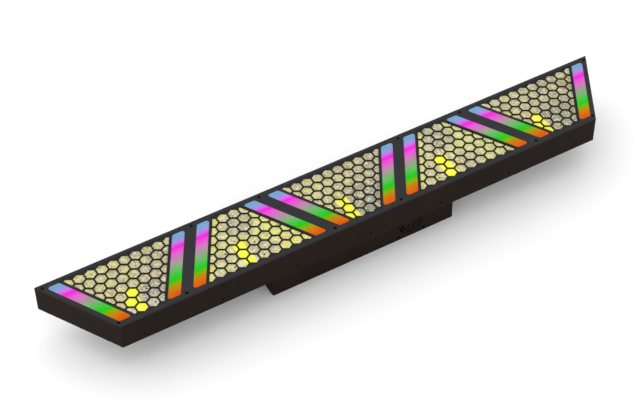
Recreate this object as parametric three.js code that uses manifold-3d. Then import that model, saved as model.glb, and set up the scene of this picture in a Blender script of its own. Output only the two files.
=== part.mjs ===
// LED strip batten with five honeycomb blinder zones and ten slanted pixel strips.
// Millimetres, +Z up. The light-emitting face looks up (+Z); X runs along the batten, +Y is the long edge.
// Origin: middle of the footprint, at the underside of the driver box.
import * as THREE from "three";
import { mergeVertices } from "three/addons/utils/BufferGeometryUtils.js";
import Module from "manifold-3d";

const wasm = await Module();
wasm.setup();

// ---------------------------------------------------------------- driving dimensions
const T30 = Math.tan(Math.PI / 6), // both ends and every pixel strip lean 30 degrees from square
  C30 = Math.cos(Math.PI / 6),
  S3H = Math.sqrt(3) / 2;
const ZONE_PITCH = 200, // one honeycomb zone per 200 mm
  ZONES = 5,
  HEX_PITCH = 20.05, // honeycomb cell to cell
  HEX_FLAT = 17.7, // across flats of one opening
  HEX_ROWS = 7,
  WIDE_ROW = 8; // whole cells in a zone's widest row
const HALF_W = 71.5, // body is 143 wide
  MID_HALF = 498.5, // half length on the centre line: 1079.6 long edge, 914.4 short edge
  TRAY_H = 52,
  BOX_H = 59.5,
  Z_BOX = 0,
  Z_TRAY = Z_BOX + BOX_H,
  Z_TOP = Z_TRAY + TRAY_H; // 111.5
const PLATE = 2,
  EDGE = 1.2, // chamfer round the face
  WALL = 2,
  SEAM = 0.3,
  SHEET = 1.5;
const STRIP_OFF = 77.4, // strip centre line from its zone's centre, at mid width
  STRIP_W = 20,
  STRIP_HALF_LEN = 61,
  STRIP_R = 4,
  STRIP_SINK = 0.8; // strips sit 0.8 mm below the face
const GRID_HALF_Y = 63.8, // honeycomb insert: half depth
  GRID_MID = 63.9, // and half length on the centre line
  GRID_SINK = 0.3,
  FIT = 0.15;
const FACE_SCREW_Y = 63,
  END_SCREW_IN = 5.8,
  SIDE_SCREW_PITCH = 139,
  SIDE_SCREW_DROP = 41;
const BOX_L = 355.5,
  BOX_D = 106.5,
  FAN_X = 92,
  FAN_SIZE = 60,
  FAN_DEPTH = 15,
  FAN_HOLE = 25,
  Z_FAN = Z_BOX + SHEET + 0.2 + FAN_SIZE / 2;
const BOX_Y = BOX_D / 2; // outer faces of the driver box
const zoneX = (k) => (k - (ZONES - 1) / 2) * ZONE_PITCH;
const wideBack = (k) => (k % 2 === 0 ? 1 : -1); // +1: the zone's wide row is at +Y

// ---------------------------------------------------------------- materials
const mat = (color, roughness, metalness, extra = {}) =>
  new THREE.MeshStandardMaterial({ color, roughness, metalness, ...extra });
const M = {
  coat: mat(0x2b2b2e, 0.55, 0.2),
  coat_side: mat(0x221f1d, 0.6, 0.2),
  grid: mat(0x14120f, 0.5, 0),
  lens: mat(0xd8cfa8, 0.5, 0.1),
  opal: mat(0xdfe4ea, 0.4, 0),
  pcb: mat(0xe8e6dc, 0.5, 0.05),
  pcb_green: mat(0x1d4a2c, 0.5, 0.05),
  alu: mat(0xb9bcc0, 0.35, 0.9),
  steel: mat(0x8f9296, 0.4, 0.9),
  screw: mat(0x151515, 0.4, 0.6),
  plastic: mat(0x161617, 0.45, 0),
  display: mat(0x0d1f3a, 0.15, 0),
  blue: mat(0x1f4fa8, 0.4, 0),
  grey: mat(0x9a9da1, 0.45, 0),
};
const root = new THREE.Group();
root.name = "led_strip_batten";
const add = (name, geometry, material) => {
  const g = geometry.clone();
  g.deleteAttribute("normal");
  g.deleteAttribute("uv");
  g.computeVertexNormals();
  const m = new THREE.Mesh(g, material);
  m.name = name;
  root.add(m);
  return m;
};

// ---------------------------------------------------------------- solid helpers
const solid = (geometry) => {
  const g = geometry.index ? geometry.toNonIndexed() : geometry.clone();
  g.deleteAttribute("normal");
  g.deleteAttribute("uv");
  const m = mergeVertices(g, 1e-4);
  return new wasm.Manifold(
    new wasm.Mesh({
      numProp: 3,
      vertProperties: new Float32Array(m.attributes.position.array),
      triVerts: new Uint32Array(m.index.array),
    }),
  );
};
const geo = (s) => {
  const m = s.getMesh(),
    n = m.numProp,
    v = new Float32Array(m.numVert * 3);
  for (let i = 0; i < m.numVert; i++)
    v.set(m.vertProperties.subarray(i * n, i * n + 3), i * 3);
  return new THREE.BufferGeometry()
    .setAttribute("position", new THREE.BufferAttribute(v, 3))
    .setIndex(new THREE.BufferAttribute(new Uint32Array(m.triVerts), 1));
};
const join = (...gs) => gs.map(solid).reduce((a, b) => a.add(b));
const cutAll = (s, gs) => gs.reduce((a, g) => a.subtract(solid(g)), s);
const shapeOf = (pts) => new THREE.Shape(pts.map(([x, y]) => new THREE.Vector2(x, y)));
const slab = (shape, z0, z1) => {
  const s = Array.isArray(shape) ? shapeOf(shape) : shape;
  return new THREE.ExtrudeGeometry(s, {
    depth: z1 - z0,
    bevelEnabled: false,
    curveSegments: 4,
  }).translate(0, 0, z0);
};
const box = (x0, x1, y0, y1, z0, z1) =>
  new THREE.BoxGeometry(x1 - x0, y1 - y0, z1 - z0).translate(
    (x0 + x1) / 2,
    (y0 + y1) / 2,
    (z0 + z1) / 2,
  );
const cylZ = (r, z0, z1, x, y, n = 12, r2 = r) =>
  new THREE.CylinderGeometry(r2, r, z1 - z0, n)
    .rotateX(Math.PI / 2)
    .translate(x, y, (z0 + z1) / 2);
const cylY = (r, y0, y1, x, z, n = 16, r1 = r) =>
  new THREE.CylinderGeometry(r1, r, y1 - y0, n).translate(x, (y0 + y1) / 2, z);
// circle as a list of points, counter-clockwise
const ring = (x, y, r, n, a0 = 0) =>
  Array.from({ length: n }, (_, i) => [
    x + r * Math.cos(a0 + (2 * Math.PI * i) / n),
    y + r * Math.sin(a0 + (2 * Math.PI * i) / n),
  ]);
const holeIn = (shape, pts) => {
  shape.holes.push(new THREE.Path(pts.map(([x, y]) => new THREE.Vector2(x, y))));
  return shape;
};
// polygon with rounded corners, n segments a corner
const rounded = (pts, r, n = 3) => {
  const out = [],
    k = pts.length;
  for (let i = 0; i < k; i++) {
    const p = new THREE.Vector2(...pts[i]),
      a = new THREE.Vector2(...pts[(i + k - 1) % k]).sub(p).normalize(),
      b = new THREE.Vector2(...pts[(i + 1) % k]).sub(p).normalize(),
      half = Math.acos(THREE.MathUtils.clamp(a.dot(b), -1, 1)) / 2,
      d = r / Math.tan(half),
      c = a.clone().add(b).normalize().multiplyScalar(r / Math.sin(half)).add(p),
      s = a.clone().multiplyScalar(d).add(p).sub(c),
      e = b.clone().multiplyScalar(d).add(p).sub(c);
    const a0 = Math.atan2(s.y, s.x);
    let da = Math.atan2(e.y, e.x) - a0;
    while (da > Math.PI) da -= 2 * Math.PI;
    while (da < -Math.PI) da += 2 * Math.PI;
    for (let j = 0; j <= n; j++)
      out.push([c.x + r * Math.cos(a0 + (da * j) / n), c.y + r * Math.sin(a0 + (da * j) / n)]);
  }
  return out;
};
// the body's plan outline, taken in by ts from the long edges and te (square to them) from the ends
const endX = (y, te = 0) => MID_HALF + y * T30 - te / C30;
const plan = (ts, te) => {
  const y = HALF_W - ts;
  return [
    [-endX(-y, te), -y],
    [endX(-y, te), -y],
    [endX(y, te), y],
    [-endX(y, te), y],
  ];
};

// ---------------------------------------------------------------- face plate
// One flat plate: five zone cut-outs, ten strip slots and twelve countersunk holes.
// Each cut-out holds a black honeycomb insert of 49 openings.
const hexCells = (k) => {
  const cells = [];
  for (let j = 0; j < HEX_ROWS; j++) {
    const n = WIDE_ROW - j,
      y = wideBack(k) * ((HEX_ROWS - 1) / 2 - j) * S3H * HEX_PITCH;
    for (let i = -1; i <= n; i++) {
      const x = zoneX(k) + (i - (n - 1) / 2) * HEX_PITCH;
      cells.push({ x, y, half: i < 0 ? -1 : i === n ? 1 : 0 });
    }
  }
  return cells;
};
const hexPath = ({ x, y, half }, k) => {
  const R = HEX_FLAT / Math.sqrt(3),
    v = Array.from({ length: 6 }, (_, i) => [
      R * Math.cos(Math.PI / 6 + (i * Math.PI) / 3),
      R * Math.sin(Math.PI / 6 + (i * Math.PI) / 3),
    ]);
  if (!half) return v.map(([a, b]) => [x + a, y + b]);
  // a cell cut in two by the zone's slanted edge, which runs through its centre
  const s = wideBack(k) * half; // the edge leans +X with +Y when s is +1
  const side = ([a, b]) => half * (a - s * b * T30); // positive outside the zone
  const out = [];
  for (let i = 0; i < 6; i++) {
    const p = v[i],
      q = v[(i + 1) % 6],
      dp = side(p),
      dq = side(q);
    if (dp <= 0) out.push([x + p[0], y + p[1]]);
    if (dp * dq < 0) {
      const t = dp / (dp - dq);
      out.push([x + p[0] + t * (q[0] - p[0]), y + p[1] + t * (q[1] - p[1])]);
    }
  }
  return out;
};
// outline of one slanted strip, grown by g; side is -1 or +1 of its zone
const stripPts = (k, side, g) => {
  const lean = wideBack(k) * side * T30,
    cx = zoneX(k) + side * STRIP_OFF,
    hw = (STRIP_W / 2 + g) / C30,
    hl = STRIP_HALF_LEN + g;
  return rounded(
    [
      [cx - hl * lean - hw, -hl],
      [cx - hl * lean + hw, -hl],
      [cx + hl * lean + hw, hl],
      [cx + hl * lean - hw, hl],
    ],
    STRIP_R + g,
    3,
  );
};
const faceScrews = [];
for (const y of [-FACE_SCREW_Y, FACE_SCREW_Y]) {
  faceScrews.push([-(endX(y) - END_SCREW_IN), y], [endX(y) - END_SCREW_IN, y]);
  for (let k = 0; k < ZONES - 1; k++)
    faceScrews.push([(zoneX(k) + zoneX(k + 1)) / 2 + wideBack(k) * y * T30, y]);
}
faceScrews.sort((a, b) => a[0] - b[0]);

// trapezoid of zone k: half length mid on the centre line, half depth y
const zoneShape = (k, mid, y) => {
  const cx = zoneX(k),
    w = wideBack(k);
  return [
    [cx - (mid - w * y * T30), -y],
    [cx + (mid - w * y * T30), -y],
    [cx + (mid + w * y * T30), y],
    [cx - (mid + w * y * T30), y],
  ];
};
const face = shapeOf(plan(-1, -1));
for (let k = 0; k < ZONES; k++) {
  holeIn(face, zoneShape(k, GRID_MID + FIT / C30, GRID_HALF_Y + FIT));
  for (const side of [-1, 1]) holeIn(face, stripPts(k, side, 0.1));
}
for (const [x, y] of faceScrews) holeIn(face, ring(x, y, 1.75, 12));
// solid through a stack of plan outlines, each [z, inset]
const stack = (levels) => {
  const pos = levels.flatMap(([z, t]) => plan(t, t).flatMap(([x, y]) => [x, y, z])),
    idx = [0, 2, 1, 0, 3, 2],
    e = 4 * (levels.length - 1);
  for (let i = 0; i < levels.length - 1; i++)
    for (let j = 0; j < 4; j++) {
      const a = 4 * i + j,
        b = 4 * i + ((j + 1) % 4);
      idx.push(a, b, b + 4, a, b + 4, a + 4);
    }
  idx.push(e, e + 1, e + 2, e, e + 2, e + 3);
  return new THREE.BufferGeometry().setAttribute("position", new THREE.Float32BufferAttribute(pos, 3)).setIndex(idx);
};
add(
  "face_plate",
  geo(
    cutAll(
      solid(slab(face, Z_TOP - PLATE, Z_TOP)).intersect(
        solid(stack([[Z_TOP - 5, 0], [Z_TOP - EDGE, 0], [Z_TOP + 1, EDGE + 1]])),
      ),
      faceScrews.map(([x, y]) => cylZ(1.4, Z_TOP - 1.75, Z_TOP + 0.25, x, y, 12, 3.4)),
    ),
  ),
  M.coat,
);
for (let k = 0; k < ZONES; k++) {
  const grid = shapeOf(zoneShape(k, GRID_MID, GRID_HALF_Y));
  for (const c of hexCells(k)) holeIn(grid, hexPath(c, k));
  add("honeycomb_grid_" + (k + 1), slab(grid, Z_TOP - PLATE, Z_TOP - GRID_SINK), M.grid);
}

// countersunk screws with hexagon sockets
const HEX6 = (r, z0, z1, x, y) => cylZ(r, z0, z1, x, y, 6);
faceScrews.forEach(([x, y], i) => {
  const profile = [
    [0, 0],
    [2.85, 0],
    [2.85, -0.25],
    [1.5, -1.6],
    [1.5, -7.5],
    [0, -7.5],
  ].map(([r, z]) => new THREE.Vector2(r, z));
  const body = new THREE.LatheGeometry(profile.reverse(), 12).rotateX(Math.PI / 2).translate(x, y, Z_TOP - 0.05);
  add(
    "face_screw_" + String(i + 1).padStart(2, "0"),
    geo(cutAll(solid(body), [HEX6(1.15, Z_TOP - 1.25, Z_TOP + 1, x, y)])),
    M.screw,
  );
});

// ---------------------------------------------------------------- lenses, strip diffusers, LED boards
const Z_BOARD = Z_TOP - 12;
for (let k = 0; k < ZONES; k++) {
  const w = wideBack(k),
    cx = zoneX(k);
  add("zone_lens_" + (k + 1), slab(zoneShape(k, 64.1, 65), Z_TOP - PLATE - 2, Z_TOP - PLATE), M.lens);
  // board under the zone and its two strips: a row of white emitters under each row of cells, an RGB row under each strip
  const parts = [solid(slab(zoneShape(k, 94.5, 64), Z_BOARD, Z_BOARD + 1.6))];
  for (let j = 0; j < HEX_ROWS; j++) {
    const reach = ((WIDE_ROW - j - 1) / 2) * HEX_PITCH + 3,
      y = w * ((HEX_ROWS - 1) / 2 - j) * S3H * HEX_PITCH;
    parts.push(solid(box(cx - reach, cx + reach, y - 3, y + 3, Z_BOARD + 1, Z_BOARD + 2.8)));
  }
  for (const side of [-1, 1]) {
    const lean = w * side * T30,
      x0 = cx + side * STRIP_OFF,
      hw = 4 / C30,
      hl = 57;
    parts.push(
      solid(
        slab(
          [
            [x0 - hl * lean - hw, -hl],
            [x0 - hl * lean + hw, -hl],
            [x0 + hl * lean + hw, hl],
            [x0 + hl * lean - hw, hl],
          ],
          Z_BOARD + 1,
          Z_BOARD + 3,
        ),
      ),
    );
  }
  add("led_board_" + (k + 1), geo(parts.reduce((a, b) => a.add(b))), M.pcb);
  for (const side of [-1, 1])
    add(
      "strip_diffuser_" + String(2 * k + (side < 0 ? 1 : 2)).padStart(2, "0"),
      geo(
        join(
          slab(stripPts(k, side, -0.2), Z_TOP - PLATE - 1.5, Z_TOP - STRIP_SINK),
          slab(stripPts(k, side, 1), Z_TOP - PLATE - 3, Z_TOP - PLATE),
        ),
      ),
      M.opal,
    );
}

// ---------------------------------------------------------------- side rails and end plates
// Long rails: wall, a narrow flange under the face plate, and a tab under each face screw.
const Z_RAIL = Z_TOP - PLATE;
const sideScrewX = [-3, -2, -1, 0, 1, 2, 3].map((i) => i * SIDE_SCREW_PITCH);
const Z_SIDE = Z_TOP - SIDE_SCREW_DROP;
const rail = (s) => {
  // s is -1 for the short (front) edge and +1 for the long (back) edge
  const o = s * HALF_W,
    i = s * (HALF_W - WALL),
    f = s * (HALF_W - WALL - 3.8),
    parts = [
      solid(
        slab(
          s < 0
            ? [[-endX(o), o], [endX(o), o], [endX(i, WALL), i], [-endX(i, WALL), i]]
            : [[-endX(i, WALL), i], [endX(i, WALL), i], [endX(o), o], [-endX(o), o]],
          Z_TRAY,
          Z_RAIL,
        ),
      ),
    ];
  const te = WALL + SEAM,
    quad = (a, b) => (s < 0 ? a.concat(b.reverse()) : b.concat(a.reverse()));
  const j = s * (HALF_W - WALL + 0.5); // the flange runs 0.5 into the wall so that they join
  parts.push(
    solid(
      slab(quad([[-endX(j, te), j], [endX(j, te), j]], [[-endX(f, te), f], [endX(f, te), f]]), Z_RAIL - 2, Z_RAIL),
    ),
  );
  const reach = s * 58;
  for (const [x, y] of faceScrews.filter((p) => p[1] * s > 0)) {
    const isEnd = Math.abs(x) > 440,
      lean = isEnd
        ? Math.sign(x) * T30
        : ((x - Math.round((x - 100) / 200) * 200 - 100) / y > 0 ? 1 : -1) * T30,
      at = (yy, d) => [x + (yy - y) * lean + d, yy],
      lo = isEnd ? (x < 0 ? -(END_SCREW_IN - te / C30) : -2.2) : -4.5,
      hi = isEnd ? (x < 0 ? 2.2 : END_SCREW_IN - te / C30) : 4.5;
    parts.push(solid(slab(quad([at(j, lo), at(j, hi)], [at(reach, lo), at(reach, hi)]), Z_RAIL - 2, Z_RAIL)));
  }
  return cutAll(
    parts.reduce((a, b) => a.add(b)),
    [
      ...faceScrews.filter((p) => p[1] * s > 0).map(([x, y]) => cylZ(1.6, Z_RAIL - 3, Z_RAIL + 1, x, y, 12)),
      ...sideScrewX.map((x) => cylY(1.7, Math.min(o, i) - 1, Math.max(o, i) + 1, x, Z_SIDE, 12)),
      ...sideScrewX.map((x) =>
        s < 0 ? cylY(3.4, o - 0.25, o + 1.75, x, Z_SIDE, 12, 1.4) : cylY(1.4, o - 1.75, o + 0.25, x, Z_SIDE, 12, 3.4),
      ),
    ],
  );
};
add("front_rail", geo(rail(-1)), M.coat_side);
add("back_rail", geo(rail(1)), M.coat_side);
for (const s of [-1, 1]) {
  const g = 0.2,
    yo = HALF_W - g,
    yi = HALF_W - WALL - g,
    flip = (pts) => (s < 0 ? pts.map(([x, y]) => [-x, y]).reverse() : pts);
  const wall = slab(flip([[endX(-yo), -yo], [endX(yo), yo], [endX(yi, WALL), yi], [endX(-yi, WALL), -yi]]), Z_TRAY, Z_RAIL),
    fy = 57.5,
    flange = slab(
      flip([[endX(-fy, WALL - 0.5), -fy], [endX(fy, WALL - 0.5), fy], [endX(fy, 6.8), fy], [endX(-fy, 6.8), -fy]]),
      Z_RAIL - 2,
      Z_RAIL,
    );
  add(s < 0 ? "left_end_plate" : "right_end_plate", geo(join(wall, flange)), M.coat_side);
}

// ---------------------------------------------------------------- rear cover and LED carrier
const IN = WALL + SEAM;
{
  // the free sheet on either side of the driver box is a face of its own, bounded 2.5 mm clear of the box
  const fy = HALF_W - IN,
    fx = BOX_L / 2 + 2.5,
    bay = [[-fx, -fy], [fx, -fy], [fx, fy], [-fx, fy]],
    right = [[fx, -fy], [endX(-fy, IN), -fy], [endX(fy, IN), fy], [fx, fy]],
    left = right.map(([x, y]) => [-x, y]).reverse(),
    parts = [bay, left, right].map((pts) => solid(slab(pts, Z_TRAY, Z_TRAY + SHEET)));
  for (const s of [-1, 1]) {
    const y0 = s * (HALF_W - IN),
      y1 = s * (HALF_W - IN - SHEET),
      x0 = endX(y0, IN + 3),
      x1 = endX(y1, IN + 3);
    parts.push(
      solid(
        slab(
          s < 0 ? [[-x0, y0], [x0, y0], [x1, y1], [-x1, y1]] : [[-x1, y1], [x1, y1], [x0, y0], [-x0, y0]],
          Z_TRAY,
          Z_TRAY + 20,
        ),
      ),
    );
  }
  add(
    "rear_cover",
    geo(
      cutAll(parts.reduce((a, b) => a.add(b)), [
        box(-150, -60, -30, 30, Z_TRAY - 1, Z_TRAY + 3), // cable and air ways from the driver box
        box(-50, 40, -30, 30, Z_TRAY - 1, Z_TRAY + 3),
        box(FAN_X - 32, FAN_X + 32, -BOX_Y + SHEET - 0.4, -BOX_Y + SHEET + 17, Z_TRAY - 1, Z_TRAY + 3),
        box(130, 160, -20, 20, Z_TRAY - 1, Z_TRAY + 3),
        ...sideScrewX.flatMap((x) => [
          cylY(1.5, -HALF_W, -HALF_W + 8, x, Z_SIDE, 8),
          cylY(1.5, HALF_W - 8, HALF_W, x, Z_SIDE, 8),
        ]),
        // countersunk so that the screws stay flush and the sheet beside the box is clear
        ...[[470, 45], [330, 55], [200, 55]].flatMap(([x, y]) =>
          [-x, x].flatMap((a) => [-y, y].map((b) => cylZ(3.4, Z_TRAY - 0.25, Z_TRAY + 1.75, a, b, 12, 1.4))),
        ),
      ]),
    ),
    M.coat_side,
  );
  const c = IN + SHEET + SEAM, // leg's outer face from the body's side
    top = slab(plan(c, 6), Z_BOARD - 2, Z_BOARD),
    leg = (s) => {
      const y0 = s * (HALF_W - c),
        y1 = s * (HALF_W - c - 2),
        x0 = endX(y0, 6),
        x1 = endX(y1, 6);
      return slab(
        s < 0 ? [[-x0, y0], [x0, y0], [x1, y1], [-x1, y1]] : [[-x1, y1], [x1, y1], [x0, y0], [-x0, y0]],
        Z_TRAY + 4,
        Z_BOARD - 0.5,
      );
    };
  add("led_carrier", geo(join(top, leg(-1), leg(1))), M.alu);
}

// ---------------------------------------------------------------- driver box
const IY = BOX_Y - SHEET, // inner faces
  IX = BOX_L / 2 - SHEET;
const BUTTON_X = [16, 28, 40, 52],
  BUTTON_Z = Z_BOX + 20,
  SOCKETS = [
    ["power_inlet", -146],
    ["power_outlet", -110],
    ["data_inlet", 110],
    ["data_outlet", 146],
  ],
  Z_SOCKET = Z_BOX + 31;
{
  const r = 2.5,
    rect = (x, y) => [[-x, -y], [x, -y], [x, y], [-x, y]];
  let s = solid(slab(rounded(rect(BOX_L / 2, BOX_Y), r, 3), Z_BOX, Z_TRAY)).subtract(
    solid(slab(rounded(rect(IX, IY), 1, 1), Z_BOX + SHEET, Z_TRAY + 1)),
  );
  // inward flanges that meet the rear cover
  for (const d of [-1, 1])
    s = s.add(solid(box(-IX + 4, IX - 4, Math.min(d * (IY + 0.5), d * (IY - 8)), Math.max(d * (IY + 0.5), d * (IY - 8)), Z_TRAY - SHEET, Z_TRAY)));
  const cuts = [box(FAN_X - 32, FAN_X + 32, -IY, -IY + 17, Z_TRAY - 3, Z_TRAY + 1)];
  // fan guard: four rings of curved slots and four screw holes
  for (const [ra, rb, spokes, a0] of [
    [4.6, 7.4, 3, 0.5],
    [10.1, 12.9, 4, 0],
    [15.6, 18.4, 5, 0.3],
    [21.1, 23.9, 6, 0],
  ])
    for (let q = 0; q < spokes; q++) {
      const gap = 2.6 / ((ra + rb) / 2),
        f = a0 + (2 * Math.PI * q) / spokes + gap / 2,
        t = a0 + (2 * Math.PI * (q + 1)) / spokes - gap / 2,
        n = 5,
        pts = [];
      for (let i = 0; i <= n; i++) pts.push([rb * Math.cos(f + ((t - f) * i) / n), rb * Math.sin(f + ((t - f) * i) / n)]);
      for (let i = n; i >= 0; i--) pts.push([ra * Math.cos(f + ((t - f) * i) / n), ra * Math.sin(f + ((t - f) * i) / n)]);
      cuts.push(slab(pts, -2, 2).rotateX(Math.PI / 2).translate(FAN_X, -BOX_Y + SHEET / 2, Z_FAN));
    }
  for (const a of [-1, 1])
    for (const b of [-1, 1]) cuts.push(cylY(1.9, -BOX_Y - 1, -IY + 1, FAN_X + a * FAN_HOLE, Z_FAN + b * FAN_HOLE, 10));
  // back wall: sockets, display window, buttons, exhaust slots
  for (const [, x] of SOCKETS) cuts.push(cylY(12, IY - 1, BOX_Y + 1, x, Z_SOCKET, 20));
  cuts.push(box(-42, 6, IY - 1, BOX_Y + 1, BUTTON_Z - 2, BUTTON_Z + 22));
  for (const x of BUTTON_X) cuts.push(cylY(3.6, IY - 1, BOX_Y + 1, x, BUTTON_Z, 16));
  for (let i = 0; i < 7; i++) cuts.push(box(-88 + i * 6, -85 + i * 6, IY - 1, BOX_Y + 1, Z_BOX + 14, Z_BOX + 46));
  for (let i = 0; i < 3; i++) cuts.push(box(76 + i * 6, 79 + i * 6, IY - 1, BOX_Y + 1, Z_BOX + 14, Z_BOX + 46));
  // seats of the two rigging inserts
  for (const x of [-130, 130]) cuts.push(cylZ(6.6, Z_BOX - 1, Z_BOX + 3, x, 0, 16));
  add("driver_box", geo(cutAll(s, cuts)), M.coat_side);
}
// threaded rigging inserts, flush with the underside and flanged above the floor
for (const [n, x] of [
  ["rigging_insert_left", -130],
  ["rigging_insert_right", 130],
])
  add(
    n,
    geo(
      cutAll(join(cylZ(6.4, Z_BOX, Z_BOX + 16, x, 0, 16), cylZ(8.5, Z_BOX + SHEET + 0.1, Z_BOX + 4, x, 0, 16)), [
        cylZ(4.3, Z_BOX - 3, Z_BOX + 18, x, 0, 12),
      ]),
    ),
    M.steel,
  );
// ---------------------------------------------------------------- power supply and control board
add(
  "power_supply",
  geo(
    join(
      box(-120, 40, -44, 28, Z_BOX + SHEET + 0.3, Z_BOX + 40),
      box(40 - 0.5, 52, -30, 18, Z_BOX + SHEET + 0.3, Z_BOX + 18), // terminal block ledge
    ),
  ),
  M.alu,
);
const Y_PCB = IY - 8; // component side faces the back wall
add(
  "control_board",
  geo(
    join(
      box(-50, 62, Y_PCB - 1.6, Y_PCB, Z_BOX + 8, Z_BOX + 50),
      box(-38, 2, Y_PCB - 0.5, Y_PCB + 5.2, BUTTON_Z - 1, BUTTON_Z + 20), // display module
      ...BUTTON_X.map((x) => box(x - 3, x + 3, Y_PCB - 0.5, Y_PCB + 3, BUTTON_Z - 3, BUTTON_Z + 3)),
      box(20, 44, Y_PCB - 6, Y_PCB - 1, Z_BOX + 34, Z_BOX + 46),
      ...[-46, 58].flatMap((x) => [12, 46].map((z) => cylY(2.4, Y_PCB - 0.5, IY - 0.3, x, Z_BOX + z, 10))), // spacers
    ),
  ),
  M.pcb_green,
);
add("display_window", geo(join(box(-41.6, 5.6, IY, BOX_Y + 0.4, BUTTON_Z - 1.6, BUTTON_Z + 21.6))), M.display);
// push buttons: a stem above its switch, a cap through the wall
BUTTON_X.forEach((x, i) =>
  add(
    "menu_button_" + (i + 1),
    geo(join(cylY(3.2, IY - 1.2, BOX_Y + 2, x, BUTTON_Z, 16), cylY(4.4, IY - 2.4, IY - 0.9, x, BUTTON_Z, 16))),
    M.grey,
  ),
);

// ---------------------------------------------------------------- chassis sockets on the back wall
for (const [name, x] of SOCKETS) {
  const power = name.startsWith("power"),
    inlet = name.endsWith("inlet"),
    r = power ? 10.2 : 8.6;
  const flange = slab(rounded([[-13, -15.5], [13, -15.5], [13, 15.5], [-13, 15.5]], 3, 2), 0, 2.2)
    .rotateX(Math.PI / 2)
    .translate(x, BOX_Y + 2.25, Z_SOCKET);
  let s = solid(flange).add(solid(cylY(11.7, BOX_Y - 24, BOX_Y + 1, x, Z_SOCKET, 24)));
  if (inlet) {
    // open cup with contact pins at its bottom
    s = s.subtract(solid(cylY(r, BOX_Y - 14, BOX_Y + 4, x, Z_SOCKET, 20)));
    const pins = power
      ? [[0, 5, 2.6, 0.8], [-4.6, -3, 0.8, 2.6], [4.6, -3, 0.8, 2.6]].map(([dx, dz, a, b]) =>
          box(x + dx - a, x + dx + a, BOX_Y - 15, BOX_Y - 7, Z_SOCKET + dz - b, Z_SOCKET + dz + b),
        )
      : [90, 210, 330].map((d) =>
          cylY(1.3, BOX_Y - 15, BOX_Y - 6.5, x + 4.6 * Math.cos((d * Math.PI) / 180), Z_SOCKET + 4.6 * Math.sin((d * Math.PI) / 180), 8),
        );
    for (const p of pins) s = s.add(solid(p));
  } else {
    // open ring around a core with contact slots
    const core = power ? 5.2 : 4.6,
      cup = power ? 10.4 : 9.6;
    s = s.subtract(
      solid(cylY(cup, BOX_Y - 12, BOX_Y + 4, x, Z_SOCKET, 20)).subtract(
        solid(cylY(core, BOX_Y - 13, BOX_Y + 1.2, x, Z_SOCKET, 20)),
      ),
    );
    const holes = power
      ? [[0, 3, 1.8, 0.6], [-3, -1.2, 0.6, 1.8], [3, -1.2, 0.6, 1.8]].map(([dx, dz, a, b]) =>
          box(x + dx - a, x + dx + a, BOX_Y - 9, BOX_Y + 4, Z_SOCKET + dz - b, Z_SOCKET + dz + b),
        )
      : [90, 210, 330].map((d) =>
          cylY(1, BOX_Y - 9, BOX_Y + 4, x + 2.7 * Math.cos((d * Math.PI) / 180), Z_SOCKET + 2.7 * Math.sin((d * Math.PI) / 180), 8),
        );
    s = cutAll(s, holes);
  }
  add(name, geo(s), M.plastic);
}
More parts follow.
